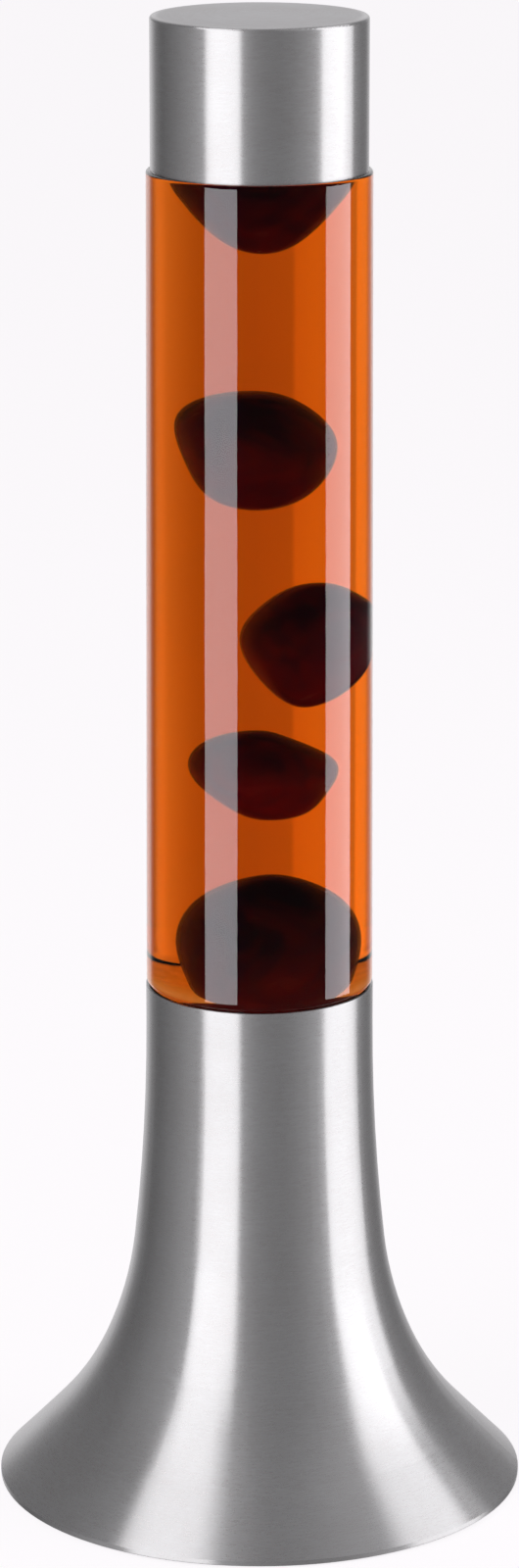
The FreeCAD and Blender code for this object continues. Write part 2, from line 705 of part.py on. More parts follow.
# sprung strip: foot on the block, rise to the contact height
centre_contact = new_body("lampholder_centre_contact")
leaf = new_sketch(centre_contact, "leaf_strip", "XZ_Plane")
leaf_wall = size(0.4)
outline(leaf, [
    (-4.6, D["block_top"]), (-1.0, D["block_top"]), (2.2, D["contact_top"] - leaf_wall),
    (4.6, D["contact_top"] - leaf_wall), (4.6, D["contact_top"]), (2.0, D["contact_top"]),
    (-1.2, D["block_top"] + leaf_wall), (-4.6, D["block_top"] + leaf_wall)])
leaf_pad = centre_contact.newObject("PartDesign::Pad", "leaf_pad")
leaf_pad.Profile = leaf
leaf_pad.SideType = "Symmetric"
leaf_pad.Length = 4.0
doc.recompute()

terminals, terminal_bolts = [], []
for i, side in enumerate((1.0, -1.0)):
    x = D["terminal_offset"] * side
    block = box("terminal_box_%d" % i, 5.0, 6.0, 7.0, x=x - 2.5, y=size(-3.0),
                z=D["block_bottom"] - 7.0)
    lead = cylinder("terminal_lead_%d" % i, 1.1, 9.0, x=x, z=D["block_bottom"] - 8.0)
    tapped = cylinder("terminal_tapped_%d" % i, 1.25, 5.0, x=x, z=D["block_bottom"] - 3.5)
    tapped.Placement = Placement(Vector(0, 0, 0), Rotation(Vector(1, 0, 0), 90))
    place(tapped, x=x, z=D["block_bottom"] - 3.5)
    terminals.append(cut("terminal_%d" % i, block, lead, tapped))
    shank = cylinder("terminal_screw_shank_%d" % i, 1.25, 3.2, x=x)
    shank.Placement = Placement(Vector(0, 0, 0), Rotation(Vector(1, 0, 0), 90))
    place(shank, x=x, y=size(-1.3), z=D["block_bottom"] - 3.5)
    head = cylinder("terminal_screw_head_%d" % i, 2.2, 1.4, x=x)
    head.Placement = Placement(Vector(0, 0, 0), Rotation(Vector(1, 0, 0), 90))
    place(head, x=x, y=size(-3.0), z=D["block_bottom"] - 3.5)
    slot = box("terminal_screw_slot_%d" % i, 5.0, 0.7, 0.6, x=x - 2.5, y=size(-4.5),
               z=D["block_bottom"] - 3.8)
    terminal_bolts.append(cut("terminal_screw_%d" % i,
                              fuse("terminal_screw_blank_%d" % i, shank, head), slot))
terminal_blocks = group("terminal_blocks", terminals)
terminal_screws = group("terminal_screws", terminal_bolts)

# ---------------------------------------------------------------- cord grommet

sleeve = cylinder("grommet_sleeve", D["grommet_radius"], 34.0)
sleeve.Placement = Placement(Vector(0, 0, 0), Rotation(Vector(1, 0, 0), -90))
place(sleeve, y=D["grommet_inner"], z=D["grommet_level"])
passage = cylinder("grommet_passage", D["grommet_bore"], 40.0)
passage.Placement = Placement(Vector(0, 0, 0), Rotation(Vector(1, 0, 0), -90))
place(passage, y=D["grommet_inner"] - 2.0, z=D["grommet_level"])
cord_grommet = cut("cord_grommet", common("grommet_blank", sleeve, skin), base_shell, passage)

# ---------------------------------------------------------------- bulb, drawn from its tip

tip = size(0.0)
bulb_contact_tip = turned("bulb_contact_tip", [
    (0, 0), (1.6, 0.0, 3.0), (2.6, 1.0), (2.6, 1.8), (0, 1.8)])
bulb_insulator = turned("bulb_insulator", [
    (0, 1.8), (2.6, 1.8), (D["thread_minor"] - 0.6, 5.2), (D["thread_minor"] - 0.6, 6.4),
    (0, 6.4)])
# rolled thread as a row of rings
thread = [(D["thread_minor"] - 0.6, 5.2)]
for i in range(6):
    low = 6.4 + 2.822 * i
    level = size(6.4) + D["thread_pitch"] * float(i)
    thread.append((D["thread_minor"], level))
    thread.append((D["thread_major"], level + D["thread_pitch"] / 2))
thread += [(D["thread_minor"], size(6.4) + D["thread_pitch"] * 6.0), (6.6, 25.2), (6.6, 27.0),
           (6.2, 27.0), (D["thread_minor"] - 0.6, 25.0), (D["thread_minor"] - 0.6, 6.4)]
bulb_screw_cap = turned("bulb_screw_cap", thread)
# reflector envelope: neck, cone, nearly flat front
front = D["bulb_length"]
front_edge = D["bulb_radius"] - 4.2
front_rise = front - 61.8
front_radius = (front_edge * front_edge + front_rise * front_rise) / (front_rise * 2.0)
bulb_glass = turned("bulb_glass", [
    (4.4, 26.0), (5.3, 24.6), (6.2, 27.0), (6.2, 31.0), (9.0, 38.5, 60.0),
    (D["bulb_radius"] - 0.8, 53.0), (D["bulb_radius"], 55.4, 3.4),
    (D["bulb_radius"] - 2.6, 60.4), (front_edge, 61.8, front_radius), (0, front),
    (0, front - 0.8),
    (D["bulb_radius"] - 4.6, 61.0), (D["bulb_radius"] - 3.3, 59.8),
    (D["bulb_radius"] - 0.8, 55.4), (D["bulb_radius"] - 1.6, 53.2, -59.2), (8.25, 38.9), (5.4, 31.2),
    (5.4, 27.0)])
bulb_stem = turned("bulb_stem", [
    (0, 26.2), (2.4, 26.2), (2.4, 30.0), (1.6, 35.0), (1.6, 37.0), (0.9, 37.6), (0.9, 44.0),
    (0, 44.0)])
# coiled filament as a thin bar bent over the stem
fil_base = box("filament_bar", 12.0, 0.4, 0.4, x=size(-6.0), y=size(-0.2), z=size(44.6))
fil_a = cylinder("filament_leg_a", 0.2, 11.0, x=size(1.9), z=size(33.9))
fil_b = cylinder("filament_leg_b", 0.2, 11.0, x=size(-1.9), z=size(33.9))
bulb_filament = fuse("bulb_filament", fil_base, fil_a, fil_b)
for piece in (bulb_contact_tip, bulb_insulator, bulb_screw_cap, bulb_glass, bulb_stem,
              bulb_filament):
    place(piece, z=D["bulb_tip"])

# ---------------------------------------------------------------- bottle

seat = D["seat_level"]
foot_r = D["foot_round"]
seat_outer = D["glass_radius"] - foot_r + root(foot_r * foot_r - (foot_r - 0.2) * (foot_r - 0.2))
top_in = D["glass_top_radius"] - D["glass_wall"]
foot_in = D["glass_radius"] - D["glass_wall"]
inside = [
    (D["neck_tube_inner"], D["neck_end"]), (D["neck_tube_inner"], D["neck_start"] + 1.0),
    (D["neck_tube_inner"] + 6.0, D["spigot_top"] + 8.5),
    (top_in - 3.4, D["spigot_top"] + 2.0),
    (top_in - 2.0, D["spigot_top"] - 2.5), (top_in, D["spigot_top"] - 8.5),
    (foot_in, seat + 3.8), (D["heel_radius"] - 1.0, seat + 1.1),
    (D["heel_radius"] - 2.4, seat - 1.5), (D["heel_radius"] - 3.6, D["floor_level"]),
    (0, D["floor_level"])]
glass_vessel = turned("glass_vessel", [
    (0, D["heel_bottom"]), (D["heel_radius"] - 1.5, D["heel_bottom"], 1.5),
    (D["heel_radius"], D["heel_bottom"] + 1.5), (D["heel_radius"], seat), (seat_outer, seat, foot_r),
    (D["glass_radius"], seat + foot_r - 0.2),
    (D["glass_top_radius"], D["glass_top"] - D["ledge_round"], D["ledge_round"]),
    (D["glass_top_radius"] - D["ledge_round"], D["glass_top"]),
    (D["spigot_radius"], D["glass_top"]), (D["spigot_radius"], D["spigot_top"], 7.0),
    (D["spigot_radius"] - 4.6, D["spigot_top"] + 6.2), (D["neck_tube_radius"] + 3.0, D["neck_start"] - 3.0,
                                                  -5.0),
    (D["neck_tube_radius"], D["neck_start"] + 1.2),
    (D["neck_tube_radius"], D["neck_end"] - D["finish_height"] - 1.0),
    (D["finish_radius"], D["neck_end"] - D["finish_height"]),
    (D["finish_radius"], D["neck_end"] - 1.0, 1.0),
    (D["finish_radius"] - 1.0, D["neck_end"])] + inside)

crown_liner = turned("crown_liner", [
    (0, D["neck_end"]), (D["finish_radius"] - 1.0, D["neck_end"]),
    (D["finish_radius"] - 1.0, D["neck_end"] + D["liner_wall"]),
    (0, D["neck_end"] + D["liner_wall"])])
crown_top = D["neck_end"] + D["liner_wall"] + D["crown_wall"]
crown_in = D["finish_radius"] + 0.05
crown_cap = turned("crown_cap", [
    (0, crown_top - D["crown_wall"]), (crown_in - 0.9, crown_top - D["crown_wall"], -0.9),
    (crown_in, crown_top - D["crown_wall"] - 0.9), (crown_in, crown_top - 3.4),
    (D["crown_skirt"] - 0.3, crown_top - D["crown_height"]),
    (D["crown_skirt"], crown_top - D["crown_height"]),
    (D["crown_skirt"], crown_top - D["crown_height"] + 0.3),
    (crown_in + D["crown_wall"], crown_top - 3.2),
    (crown_in + D["crown_wall"], crown_top - 1.2, 1.2), (crown_in + D["crown_wall"] - 1.2, crown_top),
    (0, crown_top)])
flute_sketch = circle_sketch(crown_cap, "flute", "XY_Plane",
                             [(D["crown_skirt"] + 0.75, 0, 1.35)])
around(crown_cap, "flute_pattern", cut_through(crown_cap, "flute_cut", flute_sketch),
       D["crown_flutes"])

# wax that stays with the bottle: the mound on the floor and the pool at the top
half_w, half_h = D["mound_half_width"], D["mound_half_height"]
mound_ball = doc.addObject("Part::Ellipsoid", "mound_ball")
bind(mound_ball, "Radius1", half_h)
bind(mound_ball, "Radius2", half_w)
bind(mound_ball, "Radius3", half_w)
place(mound_ball, x=D["mound_shift"], z=D["mound_level"])
floor_block = box("mound_room", 60.0, 60.0, 60.0, x=size(-30.0), y=size(-30.0), z=D["floor_level"])
wax_mound = common("wax_mound", mound_ball, floor_block)

pool_slope = D["pool_radius"] - 4.0
wax_top_pool = turned("wax_top_pool", [
    (0, D["pool_bottom"]), (D["pool_tip_radius"], D["pool_bottom"] + 2.9, 34.0),
    (D["pool_radius"], D["pool_edge_level"] + 3.0, 9.0),
    (D["pool_radius"] - 2.0, D["pool_top"]), (0, D["pool_top"])])
place(wax_top_pool, x=size(1.3))

helix = doc.addObject("Part::Helix", "coil_path")
bind(helix, "Pitch", D["coil_pitch"])
bind(helix, "Height", D["coil_height"])
bind(helix, "Radius", D["coil_radius"])
helix.LocalCoord = "Right-handed"
place(helix, z=D["floor_level"] + D["coil_wire"] + 0.05)
wire_end = doc.addObject("Part::Circle", "coil_wire_section")
bind(wire_end, "Radius", D["coil_wire"])
wire_end.Placement = Placement(Vector(0, 0, 0), Rotation(Vector(1, 0, 0), 90))
place(wire_end, x=D["coil_radius"], z=D["floor_level"] + D["coil_wire"] + 0.05)
heat_coil = doc.addObject("Part::Sweep", "heat_coil")
heat_coil.Sections = [wire_end]
heat_coil.Spine = (helix, [])
heat_coil.Solid = True
heat_coil.Frenet = True
heat_coil.Label = "heat_coil"
doc.recompute()


def blob(label, shift, level, half_width, half_height, tilt, grow=0.0):
    item = doc.addObject("Part::Ellipsoid", label)
    bind(item, "Radius1", half_height + grow)
    bind(item, "Radius2", half_width + grow)
    bind(item, "Radius3", half_width + grow)
    item.Placement = Placement(Vector(0, 0, 0), Rotation(Vector(0, 1, 0), tilt))
    place(item, x=shift, z=level)
    item.Label = label
    return item


blobs = []
for name, tilt in (("egg", D["egg_tilt"].value), ("drop", 0.0), ("lens", D["lens_tilt"].value)):
    dims = [D["%s_%s" % (name, key)] for key in ("shift", "level", "half_width", "half_height")]
    blobs.append((blob("wax_" + name, *dims, tilt),
                  blob("room_for_" + name, *dims, tilt, grow=D["wax_clearance"])))
wax_egg, wax_drop, wax_lens = [pair[0] for pair in blobs]

liquid_inside = [corner for corner in inside if corner[1].value < D["liquid_top"].value]
slope_r0, slope_z0 = inside[2]
slope_r1, slope_z1 = inside[3]
share = (slope_z0 - D["liquid_top"]) / (slope_z0 - slope_z1)
surface_radius = slope_r0 + (slope_r1 - slope_r0) * share
liquid_blank = turned("liquid_blank", [(0, D["liquid_top"]), (surface_radius, D["liquid_top"])]
                      + liquid_inside)
orange_liquid = cut("orange_liquid", liquid_blank, wax_mound, wax_top_pool,
                    *[pair[1] for pair in blobs])

# ---------------------------------------------------------------- top cap

cap_r = D["cap_radius"]
cap_corner = cap_r - D["cap_round"]
rise = D["cap_crown"]
crown_radius = (cap_corner * cap_corner + rise * rise) / (rise * 2.0)
cap_in = cap_r - D["cap_wall"]
in_corner = cap_in - 0.6
in_edge = D["cap_edge"] - D["cap_wall"]
in_crown_radius = (in_corner * in_corner + rise * rise) / (rise * 2.0)
top_cap = turned("top_cap", [
    (cap_in, D["glass_top"]), (cap_r, D["glass_top"]),
    (cap_r, D["cap_edge"] - D["cap_round"], D["cap_round"]),
    (cap_corner, D["cap_edge"], crown_radius), (0, D["cap_edge"] + rise),
    (0, in_edge + rise, -in_crown_radius), (in_corner, in_edge), (cap_in, in_edge - 0.6)])

cap_insert = turned("cap_insert", [
    (D["insert_inner"], D["insert_bottom"]), (D["insert_inner"] + 1.5, D["insert_bottom"]),
    (D["insert_inner"] + 1.5, D["insert_bottom"] + 2.0), (cap_in - 1.5, D["insert_bottom"] + 2.0),
    (cap_in - 1.5, D["insert_bottom"]), (cap_in, D["insert_bottom"]),
    (cap_in, D["insert_bottom"] + D["insert_height"]),
    (cap_in - 1.5, D["insert_bottom"] + D["insert_height"]),
    (cap_in - 1.5, D["insert_bottom"] + 3.6), (D["insert_inner"] + 1.5, D["insert_bottom"] + 3.6),
    (D["insert_inner"] + 1.5, D["insert_bottom"] + D["insert_height"]),
    (D["insert_inner"], D["insert_bottom"] + D["insert_height"])])

# ---------------------------------------------------------------- check and write

doc.recompute()
NODES = [
    base_shell, bottle_gasket, seat_sleeve, seat_ring, bottom_plate, rubber_feet, plate_lugs,
    plate_screws, holder_bracket, bracket_screws, nipple_washer, threaded_nipple, nipple_nut, lampholder_cap,
    lampholder_body, contact_block, lampholder_screw_shell, centre_contact, terminal_blocks,
    terminal_screws, cord_grommet, bulb_contact_tip, bulb_insulator, bulb_screw_cap, bulb_glass,
    bulb_stem, bulb_filament, glass_vessel, crown_liner, crown_cap, orange_liquid, wax_mound,
    wax_top_pool, heat_coil, wax_egg, wax_drop, wax_lens, top_cap, cap_insert]

for obj in doc.Objects:
    bad = [word for word in obj.State if word in ("Invalid", "Error")]
    if bad:
        raise RuntimeError("%s is %s" % (obj.Name, bad))
for obj in NODES:
    shape = obj.Shape
    if shape.isNull() or not shape.isValid():
        raise RuntimeError("%s has no valid shape" % obj.Label)
    if not shape.Solids or min(solid.Volume for solid in shape.Solids) <= 0:
        raise RuntimeError("%s has no solid" % obj.Label)

os.makedirs("parts", exist_ok=True)
for obj in NODES:
    obj.Shape.exportStep("parts/%s.step" % obj.Label)
    box_ = obj.Shape.BoundBox
    print("%-26s solids %d  volume %10.1f  x %7.2f %7.2f  y %7.2f %7.2f  z %7.2f %7.2f" % (
        obj.Label, len(obj.Shape.Solids), obj.Shape.Volume, box_.XMin, box_.XMax,
        box_.YMin, box_.YMax, box_.ZMin, box_.ZMax))
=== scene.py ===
import math

import bmesh
import bpy
from mathutils import Matrix, Vector


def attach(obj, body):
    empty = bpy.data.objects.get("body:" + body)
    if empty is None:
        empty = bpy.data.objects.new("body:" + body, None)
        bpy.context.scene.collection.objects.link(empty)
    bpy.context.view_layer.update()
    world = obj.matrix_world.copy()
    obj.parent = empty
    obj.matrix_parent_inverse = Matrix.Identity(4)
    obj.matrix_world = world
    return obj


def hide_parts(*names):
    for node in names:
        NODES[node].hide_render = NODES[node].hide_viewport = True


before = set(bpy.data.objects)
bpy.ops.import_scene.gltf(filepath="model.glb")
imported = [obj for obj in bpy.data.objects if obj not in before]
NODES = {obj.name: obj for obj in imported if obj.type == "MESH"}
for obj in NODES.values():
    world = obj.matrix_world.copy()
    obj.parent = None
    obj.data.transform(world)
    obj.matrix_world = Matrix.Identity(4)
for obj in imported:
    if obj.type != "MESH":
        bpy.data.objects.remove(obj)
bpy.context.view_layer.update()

# Liquid motion lamp. Metres, the frame of the parts: +Z up, origin on the axis at the underside
# of the feet, -Y towards the camera.

MM = 0.001
scene = bpy.context.scene
SEGMENTS = 240


# ------------------------------------------------------------------ node helpers

class Tree:
    """A material with short ways to add nodes."""

    def __init__(self, name):
        self.mat = bpy.data.materials.new(name)
        self.mat.use_nodes = True
        self.nt = self.mat.node_tree
        self.shader = self.nt.nodes["Principled BSDF"]
        self.out = self.nt.nodes["Material Output"]
        self.place = None

    def new(self, kind, **settings):
        node = self.nt.nodes.new(kind)
        for key, value in settings.items():
            setattr(node, key, value)
        return node

    def link(self, a, b):
        self.nt.links.new(a, b)

    def put(self, socket, value):
        """Set or link a shader input."""
        target = self.shader.inputs[socket]
        if isinstance(value, bpy.types.NodeSocket):
            self.link(value, target)
        elif hasattr(value, "__len__"):
            target.default_value = (*value[:3], 1.0) if len(target.default_value) == 4 else value
        else:
            target.default_value = value
        return self

    def feed(self, node, index, value):
        if isinstance(value, bpy.types.NodeSocket):
            self.link(value, node.inputs[index])
        else:
            node.inputs[index].default_value = value

    def math(self, operation, a, b=0.0, clamp=False):
        node = self.new("ShaderNodeMath", operation=operation, use_clamp=clamp)
        self.feed(node, 0, a)
        self.feed(node, 1, b)
        return node.outputs[0]

    def position(self):
        if self.place is None:
            self.place = self.new("ShaderNodeTexCoord").outputs["Object"]
        return self.place

    def scaled(self, vector, scale, offset=(0, 0, 0)):
        node = self.new("ShaderNodeMapping")
        self.link(vector, node.inputs["Vector"])
        node.inputs["Scale"].default_value = scale
        node.inputs["Location"].default_value = offset
        return node.outputs[0]

    def noise(self, vector, scale, detail=3.0, rough=0.55, distortion=0.0):
        node = self.new("ShaderNodeTexNoise")
        self.link(vector, node.inputs["Vector"])
        node.inputs["Scale"].default_value = scale
        node.inputs["Detail"].default_value = detail
        node.inputs["Roughness"].default_value = rough
        node.inputs["Distortion"].default_value = distortion
        return node.outputs["Fac"]

    def spread(self, value, low, high, to_low, to_high):
        node = self.new("ShaderNodeMapRange")
        self.feed(node, 0, value)
        for i, number in enumerate((low, high, to_low, to_high), start=1):
            node.inputs[i].default_value = number
        return node.outputs[0]

    def ramp(self, value, *stops):
        node = self.new("ShaderNodeValToRGB")
        self.link(value, node.inputs[0])
        elements = node.color_ramp.elements
        while len(elements) < len(stops):
            elements.new(0.5)
        for element, (at, colour) in zip(elements, stops):
            element.position = at
            element.color = (*colour, 1.0)
        return node.outputs["Color"]

    def bump(self, height, strength, distance, under=None):
        node = self.new("ShaderNodeBump")
        node.inputs["Strength"].default_value = strength
        node.inputs["Distance"].default_value = distance
        self.link(height, node.inputs["Height"])
        if under is not None:
            self.link(under, node.inputs["Normal"])
        return node.outputs["Normal"]


def turned_place(tree, across, along):
    """Coordinates that run fast along a turned profile and slowly round it."""
    split = tree.new("ShaderNodeSeparateXYZ")
    tree.link(tree.position(), split.inputs[0])
    x, y, z = split.outputs
    radius = tree.math("SQRT", tree.math("ADD", tree.math("MULTIPLY", x, x),
                                         tree.math("MULTIPLY", y, y)))
    run = tree.math("SUBTRACT", z, radius)
    joined = tree.new("ShaderNodeCombineXYZ")
    tree.link(tree.math("MULTIPLY", x, across), joined.inputs[0])
    tree.link(tree.math("MULTIPLY", y, across), joined.inputs[1])
    tree.link(tree.math("MULTIPLY", run, along), joined.inputs[2])
    return joined.outputs[0]


def brushed_metal(name, dark, light, rough, anisotropy, lines=1.0, disc_level=None):
    """Aluminium turned against a fine abrasive: short hair lines round the axis, fine mottling,
    faint clouds. Above disc_level (metres) the face is ground without a direction."""
    t = Tree(name)
    hair = t.noise(turned_place(t, 420.0, 2400.0), 1.0, 4.0, 0.7)
    scratch = t.noise(turned_place(t, 130.0, 1300.0), 1.0, 2.0, 0.6)
    cloud = t.noise(t.scaled(t.position(), (60.0, 60.0, 40.0)), 1.0, 3.0, 0.6)
    grain = t.math("ADD", t.math("MULTIPLY", hair, 0.7), t.math("MULTIPLY", scratch, 0.3))
    tone = t.math("ADD", t.math("MULTIPLY", grain, 0.7), t.math("MULTIPLY", cloud, 0.3))
    warm = [c * f for c, f in zip(dark, (1.015, 1.0, 0.99))]
    cool = [c * f for c, f in zip(light, (0.995, 1.0, 1.005))]
    t.put("Base Color", t.ramp(tone, (0.32, warm), (0.50, [(a + b) / 2 for a, b in zip(dark, light)]),
                               (0.68, cool)))
    t.put("Metallic", 1.0)
    t.put("Anisotropic Rotation", 0.25)
    tangent = t.new("ShaderNodeTangent", direction_type="RADIAL", axis="Z")
    t.link(tangent.outputs[0], t.shader.inputs["Tangent"])
    satin = t.spread(grain, 0.28, 0.72, rough - 0.03 * lines, rough + 0.04 * lines)
    if disc_level is None:
        t.put("Roughness", satin)
        t.put("Anisotropic", anisotropy)
    else:
        split = t.new("ShaderNodeSeparateXYZ")
        t.link(t.position(), split.inputs[0])
        disc = t.spread(split.outputs[2], disc_level, disc_level + 0.0001, 0.0, 1.0)
        t.put("Roughness", t.math("ADD", satin, t.math("MULTIPLY", disc, 0.14)))
        t.put("Anisotropic", t.spread(disc, 0.0, 1.0, anisotropy, 0.0))
    t.put("Normal", t.bump(grain, 0.05 * lines, 0.00004))
    return t.mat


def sheet_metal(name, dark, light, rough, scale, bump=0.12, metallic=1.0, streak=1.0):
    """Bare or plated sheet: mottled tone, slight orange peel, fine scratches."""
    t = Tree(name)
    mottle = t.new("ShaderNodeTexVoronoi")
    t.link(t.position(), mottle.inputs["Vector"])
    mottle.inputs["Scale"].default_value = scale
    fine = t.noise(t.scaled(t.position(), (1.0, 1.0 * streak, 1.0)), scale * 6.0, 4.0, 0.6)
    tone = t.math("ADD", t.math("MULTIPLY", mottle.outputs["Distance"], 0.45),
                  t.math("MULTIPLY", fine, 0.7))
    t.put("Base Color", t.ramp(tone, (0.25, dark), (0.75, light)))
    t.put("Metallic", metallic)
    t.put("Roughness", t.spread(fine, 0.3, 0.7, rough - 0.07, rough + 0.08))
    t.put("Normal", t.bump(fine, bump, 0.0002))
    return t.mat


def plain_surface(name, dark, light, rough, scale, bump, distance=0.0001, coat=0.0):
    """Moulded, painted or cast surface with a fine texture."""
    t = Tree(name)
    fine = t.noise(t.position(), scale, 4.0, 0.6)
    broad = t.noise(t.position(), scale * 0.06, 2.0, 0.5)
    tone = t.math("ADD", t.math("MULTIPLY", fine, 0.55), t.math("MULTIPLY", broad, 0.45))
    t.put("Base Color", t.ramp(tone, (0.32, dark), (0.68, light)))
    t.put("Roughness", t.spread(tone, 0.3, 0.7, rough - 0.06, rough + 0.07))
    t.put("Coat Weight", coat)
    t.put("Coat Roughness", 0.12)
    t.put("Normal", t.bump(fine, bump, distance))
    return t.mat


def clear_glass(name, ior, tint=(1.0, 1.0, 1.0), rough=0.0, wave=0.0):
    """Clear glass; wave is the slight unevenness of a drawn tube."""
    t = Tree(name)
    t.put("Base Color", tint)
    t.put("Transmission Weight", 1.0)
    t.put("IOR", ior)
    t.put("Roughness", rough)
    if wave > 0:
        slow = t.noise(t.scaled(t.position(), (60.0, 60.0, 9.0)), 1.0, 2.0, 0.5)
        t.put("Normal", t.bump(slow, wave, 0.0004))
    return t.mat


def liquid_material(name, ior):
    """Clear orange liquid: it takes up blue at once, green over a few centimetres, little red."""
    t = Tree(name)
    drift = t.noise(t.scaled(t.position(), (1.0, 1.0, 0.35)), 26.0, 2.0, 0.5, 0.6)
    t.put("Base Color", t.ramp(drift, (0.30, (0.98, 0.405, 0.17)), (0.70, (1.0, 0.460, 0.21))))
    t.put("Transmission Weight", 1.0)
    t.put("IOR", ior)
    t.put("Roughness", 0.0)
    soak = t.new("ShaderNodeVolumeAbsorption")
    take = (7.0, 28.0, 95.0)
    soak.inputs["Density"].default_value = 95.0
    soak.inputs["Color"].default_value = (*[1.0 - a / 95.0 for a in take], 1.0)
    t.link(soak.outputs[0], t.out.inputs["Volume"])
    return t.mat


def wax_material(name, deep, warm, low, high):
    """Dark red wax: near black, with slow swirls of dye, and a painted glow of light shining through the wax that
    makes it redder towards the bottom.
    """
    t = Tree(name)
    swirl = t.noise(t.scaled(t.position(), (1.0, 1.0, 1.4)), 55.0, 3.0, 0.5, 1.2)
    split = t.new("ShaderNodeSeparateXYZ")
    t.link(t.position(), split.inputs[0])
    # Painted light: below low the wax is painted redder, as if light shone through it, and this fades out up to
    # high.
    painted_glow = t.spread(split.outputs[2], low, high, 0.55, 0.0)
    tone = t.math("ADD", t.math("MULTIPLY", swirl, 0.75), t.math("MULTIPLY", painted_glow, 0.6))
    t.put("Base Color", t.ramp(tone, (0.34, deep), (0.60, [(a + b) / 2 for a, b in zip(deep, warm)]),
                               (0.82, warm)))
    t.put("Roughness", t.spread(swirl, 0.3, 0.7, 0.16, 0.28))
    t.put("IOR", 1.16)
    ripple = t.noise(t.position(), 140.0, 2.0, 0.5)
    t.put("Normal", t.bump(ripple, 0.06, 0.0006))
    return t.mat


# ------------------------------------------------------------------ mesh helpers

def arc_points(p, q, radius, steps):
    """Points after p up to q on an arc; its centre lies left of the way it runs (negative: right)."""
    side = 1.0 if radius > 0 else -1.0
    size = abs(radius)
    dx, dz = q[0] - p[0], q[1] - p[1]
    chord = math.hypot(dx, dz)
    rise = math.sqrt(max(size * size - chord * chord / 4.0, 0.0))
    cx = (p[0] + q[0]) / 2.0 - side * rise * dz / chord
    cz = (p[1] + q[1]) / 2.0 + side * rise * dx / chord
    a0 = math.atan2(p[1] - cz, p[0] - cx)
    a1 = math.atan2(q[1] - cz, q[0] - cx)
    turn = a1 - a0
    while side > 0 and turn < 0:
        turn += 2 * math.pi
    while side < 0 and turn > 0:
        turn -= 2 * math.pi
    return [(cx + size * math.cos(a0 + turn * i / steps), cz + size * math.sin(a0 + turn * i / steps))
            for i in range(1, steps + 1)]


def trace(corners, steps=8):
    """Polyline from corners; a third number makes the run to the next corner an arc."""
    points = [tuple(corners[0][:2])]
    for here, there in zip(corners, corners[1:]):
        if len(here) == 3:
            points += arc_points(here[:2], there[:2], here[2], steps)
        else:
            points.append(tuple(there[:2]))
    return points


def soften(points, share=0.3, steps=6):
    """Rounds the inner corners of a polyline with short curves."""
    made = [points[0]]
    for before, at, after in zip(points, points[1:], points[2:]):
        d0 = math.hypot(at[0] - before[0], at[1] - before[1])
        d1 = math.hypot(after[0] - at[0], after[1] - at[1])
        cut = min(d0, d1) * share
        a = [at[i] + (before[i] - at[i]) * cut / d0 for i in (0, 1)]
        b = [at[i] + (after[i] - at[i]) * cut / d1 for i in (0, 1)]
        for k in range(steps + 1):
            u = k / steps
            made.append(tuple((1 - u) ** 2 * a[i] + 2 * u * (1 - u) * at[i] + u * u * b[i]
                              for i in (0, 1)))
    made.append(points[-1])
    return made


def held(profile, near=0.2, bulk=24.0):
    """Adds points just inside the ends of long runs, so that smooth shading stays flat on them."""
    made = [profile[0]]
    for p, q in zip(profile, profile[1:]):
        size = math.hypot(q[0] - p[0], q[1] - p[1])
        if size > 8 * near:
            inner = max(1, round(size / bulk))
            cuts = [near / size] + [k / inner for k in range(1, inner)] + [1 - near / size]
            made += [(p[0] + (q[0] - p[0]) * c, p[1] + (q[1] - p[1]) * c) for c in cuts]
        made.append(q)
    return made


def lathe(name, profile, which=None, segments=SEGMENTS, sharp=35.0):
    """Closed surface of revolution from a profile in millimetres that starts and ends on the
    axis. which(r, z) picks the material index of a band from its middle."""
    bm = bmesh.new()
    rings = []
    for r, z in profile:
        if r < 1e-6:
            rings.append([bm.verts.new((0, 0, z * MM))])
        else:
            rings.append([bm.verts.new((r * MM * math.cos(2 * math.pi * i / segments),
                                        r * MM * math.sin(2 * math.pi * i / segments), z * MM))
                          for i in range(segments)])
    for k in range(len(rings) - 1):
        a, b = rings[k], rings[k + 1]
        index = 0 if which is None else which((profile[k][0] + profile[k + 1][0]) / 2,
                                              (profile[k][1] + profile[k + 1][1]) / 2)
        for i in range(segments):
            j = (i + 1) % segments
            if len(a) == 1:
                face = bm.faces.new((a[0], b[j], b[i]))
            elif len(b) == 1:
                face = bm.faces.new((a[i], a[j], b[0]))
            else:
                face = bm.faces.new((a[i], a[j], b[j], b[i]))
            face.material_index = index
            face.smooth = True
    bmesh.ops.recalc_face_normals(bm, faces=bm.faces)
    mesh = bpy.data.meshes.new(name)
    bm.to_mesh(mesh)
    bm.free()
    mesh.set_sharp_from_angle(angle=math.radians(sharp))
    piece = bpy.data.objects.new(name, mesh)
    scene.collection.objects.link(piece)
    return piece


def polynomial(terms, u):
    return sum(term * u ** power for power, term in enumerate(terms))


